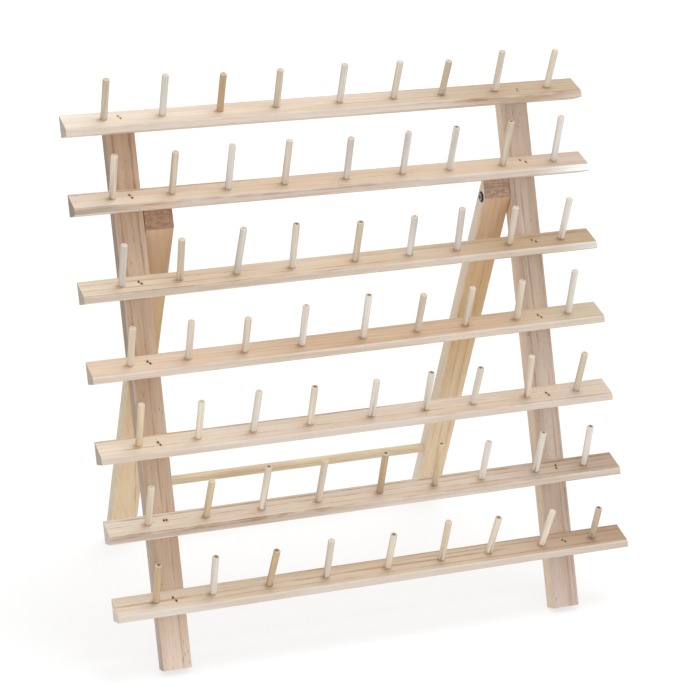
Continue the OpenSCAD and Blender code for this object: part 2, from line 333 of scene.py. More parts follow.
rubAndHighlightShape = {
    "patchy": {
        "stretch": (0.4, 1, 1), "scale": 160, "detail": 3.0, "rough": 0.5, "limits": (0.3, 0.75, 0.3, 1.5)},
    "edge": (0.2, 1.0, 1.0, 0.0),
}


def makeArrisRub():  # 1 along a stick's four long edges, broken up where hands and sandpaper missed them; the pale tone laid there is partly rubbed wear and partly a painted highlight on the edges
    corners = ["Corner A", "Corner B", "Corner C", "Corner D"]
    group, given, result = newGroup("arrisRub", [
        ("Vector", "Vector", None), ("Offset", "Vector", (0, 0, 0)), ("Reach", "Float", 0.0012)]
        + [(label, "Vector", (0, 0, 0)) for label in corners], ["Rub"])
    flat = vectorCalc(group, "MULTIPLY", given.outputs["Vector"], dropX)
    nearest = None
    for label in corners:
        away = vectorCalc(group, "LENGTH", vectorCalc(group, "SUBTRACT", flat, given.outputs[label]))
        nearest = away if nearest is None else calc(group, "MINIMUM", nearest, away)
    shifted = vectorCalc(group, "ADD", given.outputs["Vector"], given.outputs["Offset"])
    patchy = fadedNoise(group, shifted, rubAndHighlightShape["patchy"])
    reach = calc(group, "MULTIPLY", given.outputs["Reach"], patchy)
    rubAndHighlight = fade(group, calc(group, "DIVIDE", nearest, reach), *rubAndHighlightShape["edge"])
    feed(group, rubAndHighlight, result.inputs["Rub"])
    return group


def spanFromCentre(group, given):  # 1 at the distance Size from the centre
    away = vectorCalc(group, "SUBTRACT", given.outputs["Vector"], given.outputs["Centre"])
    away = vectorCalc(group, "MULTIPLY", away, given.outputs["Squeeze"])
    return calc(group, "DIVIDE", vectorCalc(group, "LENGTH", away), given.outputs["Size"])


knotShape = {
    "ripple": {"stretch": (1, 1, 1), "scale": 420, "detail": 2.0, "rough": 0.5},
    "rippleSpan": (0.9, 0.55),
    "heart": (0.55, 1.0, 1.0, 0.0),
    "stain": (0.6, 2.4, 1.0, 0.0),
}


def makeKnotMark():  # a dark heart in a wider stained patch, for a peg's pith or a nail
    group, given, result = newGroup("knotMark", [
        ("Vector", "Vector", None), ("Centre", "Vector", (0, 0, 0)), ("Size", "Float", 0.003),
        ("Squeeze", "Vector", (0.4, 1, 1))], ["Heart", "Stain"])
    ripple = noise(group, given.outputs["Vector"], knotShape["ripple"]).outputs["Fac"]
    ripple = calc(group, "MULTIPLY_ADD", ripple, *knotShape["rippleSpan"])
    span = calc(group, "MULTIPLY", spanFromCentre(group, given), ripple)
    feed(group, fade(group, span, *knotShape["heart"]), result.inputs["Heart"])
    feed(group, fade(group, span, *knotShape["stain"]), result.inputs["Stain"])
    return group


spotFade = (0.35, 1.0, 1.0, 0.0)


def makeSoftSpot():  # fades out from its centre
    group, given, result = newGroup("softSpot", [
        ("Vector", "Vector", None), ("Centre", "Vector", (0, 0, 0)), ("Size", "Float", 0.003),
        ("Squeeze", "Vector", (1, 1, 1))], ["Spot"])
    feed(group, fade(group, spanFromCentre(group, given), *spotFade), result.inputs["Spot"])
    return group


metalMarks = {
    "Patches": {"stretch": (1, 1, 1), "scale": 700, "detail": 4.0, "rough": 0.6, "limits": (0.38, 0.66)},
    "Scratches": {"stretch": (1, 1, 0.1), "scale": 3000, "detail": 1.0, "rough": 0.5, "limits": (0.55, 0.7)},
}


def makeMetalWear():  # patches and fine scratches on a small turned part
    group, given, result = newGroup("metalWear", [("Vector", "Vector", None)], list(metalMarks))
    for label, setup in metalMarks.items():
        feed(group, fadedNoise(group, given.outputs["Vector"], setup), result.inputs[label])
    return group


boardGrain = makeBoardGrain()
faceMask = makeFaceMask()
grainLine = makeGrainLine()
endPores = makeEndPores()
arrisRub = makeArrisRub()
knotMark = makeKnotMark()
softSpot = makeSoftSpot()
metalWear = makeMetalWear()
print("shared effects made")


def newMaterial(name):
    material = bpy.data.materials.new(name)
    material.use_nodes = True
    tree = material.node_tree
    return material, tree, tree.nodes["Principled BSDF"]


def setFinish(piece, *materials):
    if piece.data.materials:
        piece.data.materials.clear()
    for material in materials:
        piece.data.materials.append(material)


def addBump(tree, shader, height, strength, reach):
    bump = addNode(tree, "ShaderNodeBump", {"Strength": strength, "Distance": reach})
    feed(tree, height, bump.inputs["Height"])
    feed(tree, bump.outputs["Normal"], shader.inputs["Normal"])


# wood finish for the straight sticks, in a stick's own axes

woodLook = {  # what all the sticks start from; a mark is its tone and its strength
    "tints": [],
    "side": None,
    "sideTints": [],
    "under": None,
    "sideLimits": (0.75, 0.9),  # how squarely a face has to point aside or down
    "fleck": ((214, 194, 172), 0.3),
    "lines": [],
    "lineShift": 0.3,  # sets the noise of a stick's dark lines apart
    "glueShadowSpots": [],
    "nails": [],
    "rubAndHighlight": ((240, 229, 214), 0.3),
    "rubAndHighlightReach": 0.0011,
    "end": ((188, 177, 165), 0.85),
    "endLimits": (0.3, 0.6),
    "pore": (142, 124, 108),
    "poreDepth": 0.4,
    "sawDepth": 0.2,
    "endRings": 0.25,
    "wobble": 0.006,
    "roughness": 0.52,
    "fibreRough": 0.18,
    "endRough": 0.15,
    "ringDent": -0.6,
    "sawDent": -1.0,
    "bump": 0.35,
    "bumpReach": 0.0002,
    "specular": 0.3,
}


def stickSpan(name, turn):  # where a stick's middle is, and half its size along its own axes
    points = [turn.transposed() @ vertex.co for vertex in nodes[name].data.vertices]
    low = Vector([min(point[axis] for point in points) for axis in range(3)])
    high = Vector([max(point[axis] for point in points) for axis in range(3)])
    return turn @ ((low + high) / 2), (high - low) / 2


def cornerInputs(glueShadowSpots):
    return {"Corner " + letter: (0, y, z) for letter, (y, z) in zip("ABCD", glueShadowSpots)}


def squareCorners(half):
    return cornerInputs([(half.y, half.z), (-half.y, half.z), (-half.y, -half.z), (half.y, -half.z)])


def stickTones(tree, look, along, facing):  # the ground colour; a tint is whole at one place, gone at another
    colour = linear(*look["pale"])
    for tone, amount, full, none in look["tints"]:
        colour = tint(tree, fade(tree, along, full, none, 1.0, 0.0), amount, colour, tone)
    # faces that point aside get their own tone: painted shade on the rails' noses, partly painted light and shade
    # on the uprights and legs
    if look["side"]:
        sides = facing((0, 1, 0), "Facing", look["sideLimits"])
        tone, amount = look["side"]
        colour = tint(tree, sides, amount, colour, tone)
        for tone, amount, full, none in look["sideTints"]:
            part = calc(tree, "MULTIPLY", sides, fade(tree, along, full, none, 1.0, 0.0))
            colour = tint(tree, part, amount, colour, tone)
    if look["under"]:
        tone, amount = look["under"]
        colour = tint(tree, facing((0, 0, -1), "Toward", look["sideLimits"]), amount, colour, tone)
    return colour


def stickMarks(tree, look, place, grain, colour):  # grain, dark lines, glue stains with a painted shadow beside each peg, and nail stains
    for mark in ("Cloud", "Streak", "Rings", "Fibre", "Fleck"):
        tone, amount = look[mark.lower()]
        colour = tint(tree, grain.outputs[mark], amount, colour, tone, "MULTIPLY")
    for number, (spot, width, amount, drift, start, stop) in enumerate(look["lines"]):
        offset = Vector(look["shift"]) + Vector((look["lineShift"] * number, 0, 0))
        line = useGroup(tree, grainLine, {
            "Vector": place, "Offset": offset, "Across": look["lineAcross"],
            "Place": spot, "Width": width, "Drift": drift, "Start": start, "Stop": stop})
        colour = tint(tree, line.outputs["Line"], amount, colour, look["line"], "MULTIPLY")
    for spot, size, squeeze, amount in look["glueShadowSpots"]:
        values = {"Vector": place, "Centre": spot, "Size": size, "Squeeze": squeeze}
        soft = useGroup(tree, softSpot, values)
        colour = tint(tree, soft.outputs["Spot"], amount, colour, look["spot"], "MULTIPLY")
    for spot, size, squeeze, amount in look["nails"]:
        values = {"Vector": place, "Centre": spot, "Size": size, "Squeeze": squeeze}
        nail = useGroup(tree, knotMark, values)
        colour = tint(tree, nail.outputs["Stain"], look["stainShare"] * amount, colour, look["stain"])
        colour = tint(tree, nail.outputs["Heart"], amount, colour, look["heart"])
    return colour


def stickFinish(name, look, centre, turn, corners):
    material, tree, shader = newMaterial(name)
    coordinates = addNode(tree, "ShaderNodeTexCoord")
    frameOfStick = {"Location": centre, "Rotation": turn.to_euler("XYZ")}
    mapping = addNode(tree, "ShaderNodeMapping", frameOfStick, vector_type="TEXTURE")
    feed(tree, coordinates.outputs["Object"], mapping.inputs["Vector"])
    place = mapping.outputs["Vector"]
    shift = look["shift"]

    def facing(axis, output, limits):
        values = {"Normal": coordinates.outputs["Normal"], "Axis": turn @ Vector(axis)}
        mask = useGroup(tree, faceMask, dict(values, Low=limits[0], High=limits[1]))
        return mask.outputs[output]

    grain = useGroup(tree, boardGrain, {
        "Vector": place, "Offset": shift, "Pith": look["pith"], "Slant": look["slant"],
        "Ring Gap": look["ringGap"], "Wobble": look["wobble"]})
    colour = stickTones(tree, look, takeX(tree, place), facing)
    colour = stickMarks(tree, look, place, grain, colour)
    # pale long edges: rubbed wear and a painted highlight
    rubAndHighlight = useGroup(tree, arrisRub, dict(corners, Vector=place, Offset=shift, Reach=look["rubAndHighlightReach"]))
    tone, amount = look["rubAndHighlight"]
    colour = tint(tree, rubAndHighlight.outputs["Rub"], amount, colour, tone)
    ends = facing((1, 0, 0), "Facing", look["endLimits"])
    pores = useGroup(tree, endPores, {"Vector": place, "Offset": shift})
    tone, amount = look["end"]
    endTone = tint(tree, pores.outputs["Pores"], look["poreDepth"], linear(*tone), look["pore"])
    endTone = tint(tree, pores.outputs["Saw"], look["sawDepth"], endTone, look["pore"])
    endTone = tint(tree, grain.outputs["Rings"], look["endRings"], endTone, look["pore"])
    colour = blendColour(tree, calc(tree, "MULTIPLY", ends, amount), colour, endTone)
    feed(tree, colour, shader.inputs["Base Color"])
    fibre = grain.outputs["Fibre"]
    rough = calc(tree, "MULTIPLY_ADD", fibre, look["fibreRough"], look["roughness"])
    rough = calc(tree, "MULTIPLY_ADD", ends, look["endRough"], rough)
    feed(tree, rough, shader.inputs["Roughness"])
    sawn = calc(tree, "MULTIPLY", ends, pores.outputs["Saw"])
    height = calc(tree, "MULTIPLY_ADD", grain.outputs["Rings"], look["ringDent"], fibre)
    height = calc(tree, "MULTIPLY_ADD", sawn, look["sawDent"], height)
    addBump(tree, shader, height, look["bump"], look["bumpReach"])
    shader.inputs["Specular IOR Level"].default_value = look["specular"]
    return material


def finishStick(node, finishName, look, turn):
    centre, half = stickSpan(node, turn)
    setFinish(nodes[node], stickFinish(finishName, look, centre, turn, squareCorners(half)))


# rails: pale planed pine, each strip from another board

railLook = dict(
    woodLook,
    cloud=((240, 231, 218), 0.4),  # the marks darken what lies under them, so white leaves it as it is
    streak=((236, 224, 208), 0.45),
    rings=((226, 208, 186), 0.5),
    fibre=((240, 232, 220), 0.3),
    line=(204, 176, 148),
    lineAcross=(0, -0.812, -0.584),  # from the back edge of the sloping top down to its front
    # painted shade: the noses and backs get a greyer, darker tone than the sloping tops, for the overhead light
    # they miss
    side=((218, 208, 199), 0.8),
    under=((226, 216, 208), 0.7),
    # the spot tone and the glueShadow keys: a soft tan mark beside each peg's foot, shifted to its left, partly
    # glue stain and partly the painted shadow each peg casts
    spot=(214, 176, 132),
    glueShadowSize=0.0046,
    glueShadowShift=-0.0022,
    glueShadowSqueeze=(0.8, 1, 1),
    glueShadowStrength=0.5,
    stain=(178, 132, 92),
    stainShare=0.3,
    heart=(88, 58, 34),
    nailSize=0.00095,
    nailSqueeze=(1, 0, 1),  # a nail's mark runs through the rail along the nail
    nailStrength=1.0,
    shiftStep=(0.37, 0.11, 0.23),  # from one rail's noise to the next
)

# what differs from strip to strip, the top one first: tone in the middle and towards both ends, growth rings,
# and single dark lines as place across, width, strength, drift, and where along the strip they start and stop
# the tints lighten each strip's left end and darken its right end; this is partly the board's own tone and partly
# painted light falling off from left to right; the side tints carry the noses' painted shade along the strip
railBoards = [
    {"pale": (230, 214, 198),
     "tints": [((245, 236, 225), 1.0, -0.2, -0.04), ((194, 174, 150), 1.0, 0.17, -0.04)],
     "sideTints": [((186, 158, 130), 0.8, 0.16, 0.07), ((214, 198, 186), 0.9, 0.196, 0.166)],
     "pith": (0, 0.030, 0.012), "slant": (0, 0.010, 0.004), "ringGap": 0.0034, "nailStrength": 0.4,
     "lines": [(-0.0109, 0.0007, 0.7, 0.0, -0.08, 0.2), (0.0085, 0.0011, 0.9, 0.0, 0.06, 0.2),
               (0.0020, 0.0006, 0.5, 0.010, -0.02, 0.2), (-0.0050, 0.0005, 0.4, 0.004, 0.05, 0.2)]},
    {"pale": (222, 203, 183),
     "tints": [((226, 210, 194), 1.0, -0.2, -0.12), ((206, 190, 174), 1.0, 0.2, 0.12)],
     "side": ((207, 195, 187), 0.8),
     "sideTints": [((202, 172, 146), 0.6, -0.14, -0.105), ((174, 158, 144), 0.9, -0.18, -0.14),
                   ((255, 255, 255), 1.0, 0.196, 0.15)],
     "end": ((140, 126, 116), 0.85),
     "pith": (0, -0.016, 0.034), "slant": (0, 0.012, -0.010), "ringGap": 0.0030,
     "lines": [(-0.0095, 0.0010, 0.8, 0.0, -0.2, -0.06), (0.0088, 0.0008, 0.6, 0.0, -0.2, 0.06),
               (-0.0010, 0.0006, 0.4, -0.012, -0.16, 0.06)]},
    {"pale": (221, 203, 182),
     "tints": [((227, 212, 192), 1.0, -0.2, -0.1), ((190, 167, 139), 1.0, 0.18, -0.02)],
     "sideTints": [((197, 181, 165), 0.9, -0.15, 0.06), ((224, 227, 228), 0.9, 0.2, 0.16)],
     "pith": (0, 0.036, -0.010), "slant": (0, -0.010, 0.006), "ringGap": 0.0032,
     "lines": [(-0.0020, 0.0006, 0.7, -0.020, -0.2, -0.05), (0.0040, 0.0007, 0.6, -0.012, -0.2, 0.03),
               (0.0082, 0.0008, 0.6, 0.0, -0.2, 0.0), (-0.0060, 0.0010, 0.5, 0.008, 0.0, 0.2)]},
    {"pale": (209, 183, 157),
     "tints": [((232, 213, 194), 1.0, -0.16, 0.0), ((206, 193, 171), 1.0, 0.18, 0.09)],
     "pith": (0, -0.020, -0.016), "slant": (0, 0.020, 0.008), "ringGap": 0.0040,
     "lines": [(-0.0108, 0.0005, 0.4, 0.0, -0.2, 0.2), (0.0060, 0.0007, 0.35, 0.012, -0.05, 0.12)]},
    {"pale": (223, 208, 194),
     "tints": [((236, 223, 206), 1.0, -0.2, -0.02), ((216, 202, 187), 1.0, 0.2, 0.08)],
     "end": ((182, 166, 154), 0.85),
     "pith": (0, 0.034, 0.016), "slant": (0, 0.003, -0.003), "ringGap": 0.0042,
     "lines": [(-0.0100, 0.0008, 0.8, 0.0, -0.2, 0.02), (0.0010, 0.0006, 0.6, 0.006, -0.2, 0.12),
               (0.0078, 0.0007, 0.6, 0.0, 0.02, 0.2), (-0.0040, 0.0005, 0.45, 0.0, 0.0, 0.2)]},
    {"pale": (220, 206, 192),
     "tints": [((233, 223, 212), 1.0, -0.2, -0.06), ((185, 166, 150), 1.0, 0.2, 0.04)],
     "sideTints": [((196, 183, 170), 0.9, -0.14, 0.06)],
     "end": ((213, 210, 203), 0.85),
     "pith": (0, 0.028, 0.022), "slant": (0, -0.004, 0.004), "ringGap": 0.0046,
     "lines": [(-0.0085, 0.0009, 0.8, 0.0, -0.2, 0.2), (-0.0030, 0.0006, 0.7, 0.004, -0.2, 0.2),
               (0.0030, 0.0007, 0.6, -0.006, -0.1, 0.2), (0.0082, 0.0012, 1.0, 0.0, -0.2, -0.02),
               (0.0080, 0.0007, 0.6, 0.0, 0.02, 0.2)]},
    {"pale": (215, 198, 178),
     "tints": [((227, 214, 198), 1.0, -0.2, -0.1), ((184, 160, 138), 1.0, 0.2, 0.04)],
     "end": ((244, 228, 216), 0.85),
     "pith": (0, 0.032, 0.004), "slant": (0, 0.008, 0.006), "ringGap": 0.0036,
     "lines": [(-0.0106, 0.0008, 0.7, 0.0, -0.08, 0.2), (-0.0020, 0.0012, 0.6, 0.004, -0.2, 0.1),
               (0.0040, 0.0007, 0.6, -0.006, -0.12, 0.2), (-0.0060, 0.0008, 0.6, 0.0, 0.02, 0.2)]},
]
endReach = 0.001  # vertices this close to a rail's end belong to it
noseReach = 0.0003  # and this close to its front edge


def railAxes(name):  # along the rail, to its back, and up; each rail is nailed on a little askew
    points = [vertex.co for vertex in nodes[name].data.vertices]
    ends = [min(point.x for point in points), max(point.x for point in points)]
    left, right = [[point for point in points if abs(point.x - end) < endReach] for end in ends]
    along = (sum(right, Vector()) / len(right) - sum(left, Vector()) / len(left)).normalized()
    back = railTurn.col[1]
    return Matrix((along, back, along.cross(back))).transposed()


def railCorners(name, half, turn):
    points = [turn.transposed() @ vertex.co for vertex in nodes[name].data.vertices]
    front = min(point.y for point in points)
    bottom = min(point.z for point in points)
    noseTop = max(point.z for point in points if point.y < front + noseReach) - bottom - half.z
    return cornerInputs([(half.y, half.z), (half.y, -half.z), (-half.y, -half.z), (-half.y, noseTop)])


def finishRails(look):
    for row, board in zip(rowNumbers, railBoards):
        name = f"rail_{row}"
        turn = railAxes(name)
        centre, half = stickSpan(name, turn)
        own = dict(look, **board)
        own["shift"] = tuple(row * step for step in own["shiftStep"])
        brads = [turn.transposed() @ (spot - centre) for spot in shellMiddles(nodes[f"brads_row_{row}"].data)]
        own["nails"] = [(spot, own["nailSize"], own["nailSqueeze"], own["nailStrength"]) for spot in brads]
        pegs = [turn.transposed() @ (spot - centre) for spot in shellMiddles(nodes[f"pegs_row_{row}"].data)]
        # painted shadow beside each peg's foot, shifted to its left, partly glue stain
        glueShadow = [(spot.x + own["glueShadowShift"], 0, 0) for spot in pegs]
        own["glueShadowSpots"] = [(spot, own["glueShadowSize"], own["glueShadowSqueeze"], own["glueShadowStrength"]) for spot in glueShadow]
        corners = railCorners(name, half, turn)
        setFinish(nodes[name], stickFinish(f"railPine{row}", own, centre, turn, corners))


finishRails(railLook)
print("rails finished")

# uprights: darker, more figured pine

uprightLook = dict(
    woodLook,
    cloud=((236, 226, 216), 0.5),
    streak=((232, 218, 206), 0.45),
    rings=((222, 206, 190), 0.45),
    fibre=((232, 222, 212), 0.35),
    fleck=((158, 130, 112), 0.5),
    line=(188, 160, 140),
    lineAcross=(0, 1, 0),
    rubAndHighlight=((222, 204, 186), 0.3),
    end=((172, 152, 134), 0.8),
    pore=(120, 98, 82),
    slant=(0, 0.012, 0.004),
    ringGap=0.0046,
    wobble=0.007,
)
# the side tones are partly the wood and partly painted light and shade: dark on the left upright's outer face,
# pale on the right upright's inner face
uprightBoards = {
    "left": {
        "pale": (205, 181, 158), "shift": (0.9, 0.4, 0.0), "pith": (0, 0.014, -0.020),
        "tints": [((228, 209, 191), 1.0, -0.19, -0.13), ((193, 165, 140), 0.8, 0.2, 0.06)],
        "side": ((158, 140, 124), 0.85), "sideTints": [((204, 192, 178), 0.9, -0.16, 0.08)],
        "lines": [(-0.0060, 0.0012, 0.5, 0.004, 0.02, 0.2), (0.0015, 0.0009, 0.4, -0.006, -0.1, 0.06),
                  (0.0070, 0.0014, 0.6, 0.004, 0.08, 0.2), (0.0045, 0.0008, 0.4, 0.0, -0.2, -0.08)]},
    "right": {
        "pale": (208, 191, 177), "shift": (1.9, 0.4, 0.2), "pith": (0, -0.006, -0.024),
        "tints": [((218, 201, 191), 1.0, -0.19, -0.12)],
        "side": ((243, 225, 200), 0.75),
        "lines": [(-0.0065, 0.0008, 0.4, 0.004, -0.06, 0.2), (-0.0010, 0.0010, 0.5, 0.008, 0.0, 0.12),
                  (0.0050, 0.0008, 0.4, -0.004, -0.2, -0.02), (0.0085, 0.0007, 0.4, 0.0, -0.2, 0.1)]},
}

for side, board in uprightBoards.items():
    finishName = f"uprightPine{side.capitalize()}"
    finishStick(f"upright_{side}", finishName, dict(uprightLook, **board), uprightTurn)
print("uprights finished")

# rear legs: honey coloured pine, brown where the mitre cuts across the grain

legLook = dict(
    woodLook,
    pale=(222, 193, 153),
    cloud=((240, 230, 214), 0.45),
    streak=((236, 222, 200), 0.4),
    rings=((230, 210, 184), 0.4),
    fibre=((236, 224, 206), 0.3),
    fleck=((206, 182, 154), 0.3),
    line=(214, 184, 148),
    lineAcross=(0, 1, 0),
    pore=(120, 90, 70),
    poreDepth=0.35,
    sawDepth=0.45,
    endRings=0.35,
    ringGap=0.0044,
    wobble=0.008,
)
# tints: the darker band just below the mitre is a painted shadow of the rail above, and the paler tone towards the
# foot is partly painted light bounced up from the floor; the side tones are partly painted light and shade
legBoards = {
    "left": {
        "shift": (2.1, 0.7, 0.0), "pith": (0, 0.022, 0.012), "slant": (0, 0.25, 0.05),
        "tints": [((217, 185, 156), 1.0, 0.14, 0.09), ((247, 227, 196), 1.0, -0.12, 0.06)],
        "side": ((206, 202, 186), 0.6), "end": ((184, 147, 122), 0.95),
        "lines": [(0.0020, 0.0008, 0.6, 0.10, -0.1, 0.1), (-0.0050, 0.0007, 0.6, 0.10, -0.16, 0.0)]},
    "right": {
        "shift": (3.1, 0.7, 0.5), "pith": (0, -0.026, 0.018), "slant": (0, 0.06, 0.02),
        "tints": [((216, 186, 156), 1.0, 0.135, 0.105), ((249, 233, 208), 1.0, -0.12, 0.04)],
        "side": ((240, 230, 218), 0.75), "end": ((198, 169, 148), 0.95),
        "lines": [(0.0040, 0.0007, 0.5, 0.02, -0.1, 0.12), (-0.0030, 0.0006, 0.5, 0.02, -0.16, 0.06)]},
}

for side, board in legBoards.items():
    finishStick(f"rear_leg_{side}", f"legPine{side.capitalize()}", dict(legLook, **board), legTurn)
print("rear legs finished")

# cross dowel: straw coloured, straight grained

dowelLook = dict(
    woodLook,
    shift=(4.3, 0.2, 0.6),
    pale=(236, 222, 198),
    cloud=((238, 228, 212), 0.5),
    streak=((230, 216, 192), 0.5),
    rings=((214, 192, 162), 0.5),
    fibre=((224, 208, 184), 0.4),
    pith=(0, 0.01, 0.012),
    slant=(0, 0.002, 0.003),
    ringGap=0.0016,
)

finishStick("cross_dowel", "dowelBirch", dowelLook, Matrix.Identity(3))
print("cross dowel finished")

# pegs: turned pins from odd sticks, no two rows alike

pegLook = {
    "socket": 0.007,  # how much of a peg is glued into its rail
    "roundOff": 0.00022,
    "rimReach": 0.0012,  # edges this close to the top may be its rim
    "rimAngle": 20,  # if the faces beside them bend by more than these degrees
    "flatAngle": 1,  # faces that bend by less than these degrees are joined
    "smoothAngle": 35,
    "endReach": 0.0004,  # vertices this close to an end belong to it
    "grain": {"Pith": (0, 0.006, 0.004), "Slant": (0, 0.02, 0.01), "Ring Gap": 0.0014, "Wobble": 0.002},
    "marks": {"Cloud": 0.3, "Streak": 0.6, "Rings": 0.5, "Fibre": 0.35},
    "endTone": (226, 212, 193),
    "endCover": 0.9,
    "poreDepth": 0.4,
    "pith": (112, 82, 58),
    "pithSize": 0.0010,
    "faintPith": 0.4,  # most that a plain top shows of a pith
    "faintSteps": (5, 3),  # how far one peg and one row move on in the cycle of faint piths
    "faintCycle": 7,
    "seedByPlace": (0.31, 0.0, 0.13),  # sets the noise of the pegs apart
    "seedByRow": (0.0, 0.17, 0.07),
    # painted contact shade: the peg darkens towards its foot where it enters the rail
    "footShade": (120, 96, 74),
    "footShadeReach": 0.0016,
    "footShadeDepth": 0.3,
    "roughness": 0.5,
    "fibreRough": 0.2,
    "bump": 0.3,
    "bumpReach": 0.00015,
    "specular": 0.3,
}
pegTones = {  # pale part, then the streaks
    "p": ((241, 236, 229), (206, 193, 175)),
    "g": ((234, 229, 222), (188, 175, 160)),
    "c": ((243, 234, 219), (203, 183, 155)),
    "s": ((238, 228, 213), (188, 168, 143)),
    "h": ((238, 219, 188), (188, 162, 124)),
    "t": ((226, 213, 193), (172, 149, 118)),
    "b": ((216, 193, 158), (163, 132, 95)),
}
# one letter a peg from left to right; a capital has a dark pith in its top
pegPicks = [
    "tgbsgstsc",
    "stgsggGTg",
    "gtgSTggsp",
    "csspPsscp",
    "hcpCpPPcc",
    "chSsBHpPP",
    "BPBpCcCcT",
]


def pegFinish(letter):
    pale, streaks = pegTones[letter]
    material, tree, shader = newMaterial("pegWood" + letter.upper())
    place = addNode(tree, "ShaderNodeAttribute", attribute_name="pegPlace").outputs["Vector"]
    seed = addNode(tree, "ShaderNodeAttribute", attribute_name="pegSeed").outputs["Vector"]
    pithy = addNode(tree, "ShaderNodeAttribute", attribute_name="pegPithy").outputs["Fac"]
    normal = addNode(tree, "ShaderNodeTexCoord").outputs["Normal"]
    grain = useGroup(tree, boardGrain, dict(pegLook["grain"], Vector=place, Offset=seed))
    colour = linear(*pale)
    for mark, amount in pegLook["marks"].items():
        colour = tint(tree, grain.outputs[mark], amount, colour, streaks)
    ends = useGroup(tree, faceMask, {"Normal": normal, "Axis": pegAxis}).outputs["Facing"]
    pores = useGroup(tree, endPores, {"Vector": place, "Offset": seed}).outputs["Pores"]
    endTone = tint(tree, pores, pegLook["poreDepth"], linear(*pegLook["endTone"]), streaks)
    heart = useGroup(tree, knotMark, {"Vector": place, "Size": pegLook["pithSize"], "Squeeze": dropX})
    dark = calc(tree, "MULTIPLY", heart.outputs["Stain"], pithy)
    endTone = blendColour(tree, dark, endTone, linear(*pegLook["pith"]))
    colour = blendColour(tree, calc(tree, "MULTIPLY", ends, pegLook["endCover"]), colour, endTone)
    # painted contact shade at the peg's foot, fading out up the peg
    footShade = fade(tree, takeX(tree, place), 0.0, pegLook["footShadeReach"], pegLook["footShadeDepth"], 0.0)
    colour = blendColour(tree, footShade, colour, linear(*pegLook["footShade"]))
    feed(tree, colour, shader.inputs["Base Color"])
    fibre = grain.outputs["Fibre"]
    rough = calc(tree, "MULTIPLY_ADD", fibre, pegLook["fibreRough"], pegLook["roughness"])
    feed(tree, rough, shader.inputs["Roughness"])
    height = calc(tree, "MULTIPLY_ADD", pores, ends, fibre)
    addBump(tree, shader, height, pegLook["bump"], pegLook["bumpReach"])
    shader.inputs["Specular IOR Level"].default_value = pegLook["specular"]
    return material


def pegHeight(vertex):
    return vertex.co.dot(pegAxis)


def roundPegTops(shape):
    rims = []
    bend = math.radians(pegLook["rimAngle"])
    for shell in shells(shape):
        rimLevel = max(pegHeight(vertex) for vertex in shell) - pegLook["rimReach"]
        for edge in dict.fromkeys(link for vertex in shell for link in vertex.link_edges):
            high = min(pegHeight(vertex) for vertex in edge.verts) > rimLevel
            if high and len(edge.link_faces) == 2 and edge.calc_face_angle() > bend:
                rims.append(edge)
    bmesh.ops.bevel(shape, geom=rims, offset=pegLook["roundOff"], segments=2, profile=0.5,
                    affect="EDGES", material=-1)


def pegFrame(shell):  # a peg's foot, and its own directions: along it, across it and to its side
    low = min(pegHeight(vertex) for vertex in shell) + pegLook["endReach"]
    high = max(pegHeight(vertex) for vertex in shell) - pegLook["endReach"]
    foot = middle([vertex for vertex in shell if pegHeight(vertex) < low])
    tip = middle([vertex for vertex in shell if pegHeight(vertex) > high])
    along = (tip - foot).normalized()
    across = Vector((1, 0, 0)).cross(along).normalized()
    return foot, along, across, along.cross(across)


def makePegRow(row, picks, finishes):
    name = f"pegs_row_{row}"
    shape = bmesh.new()
    shape.from_mesh(nodes[name].data)
    bmesh.ops.remove_doubles(shape, verts=shape.verts, dist=mergeReach)
    flat = math.radians(pegLook["flatAngle"])
    bmesh.ops.dissolve_limit(shape, angle_limit=flat, verts=shape.verts, edges=shape.edges)
    roundPegTops(shape)
    placeLayer = shape.verts.layers.float_vector.new("pegPlace")
    seedLayer = shape.verts.layers.float_vector.new("pegSeed")
    pithLayer = shape.verts.layers.float.new("pegPithy")
    letters = list(pegTones)
    perPeg, perRow = pegLook["faintSteps"]
    cycle = pegLook["faintCycle"]
    for number, (shell, pick) in enumerate(zip(shells(shape), picks)):
        foot, along, across, side = pegFrame(shell)
        faint = pegLook["faintPith"] * ((perPeg * number + perRow * row) % cycle) / (cycle - 1)
        steps = zip(pegLook["seedByPlace"], pegLook["seedByRow"])
        seed = tuple(byPlace * number + byRow * row for byPlace, byRow in steps)
        for vertex in shell:
            away = vertex.co - foot
            vertex[placeLayer] = (away.dot(along) - pegLook["socket"], away.dot(across), away.dot(side))
            vertex[seedLayer] = seed
            vertex[pithLayer] = 1.0 if pick.isupper() else faint
            for face in vertex.link_faces:
                face.material_index = letters.index(pick.lower())
    mesh = bpy.data.meshes.new(f"pegRow{row}")
    shape.to_mesh(mesh)
    shape.free()
    mesh.shade_smooth()
    mesh.set_sharp_from_angle(angle=math.radians(pegLook["smoothAngle"]))
    piece = bpy.data.objects.new(f"pegRow{row}", mesh)
    bpy.context.scene.collection.objects.link(piece)
    setFinish(piece, *finishes)
    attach(piece, "front_frame")
    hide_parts(name)


pegFinishes = [pegFinish(letter) for letter in pegTones]
for row, picks in zip(rowNumbers, pegPicks):
    makePegRow(row, picks, pegFinishes)
print("pegs made")

# hardware: blackened bolts, dull washers, brass inserts, browned brads

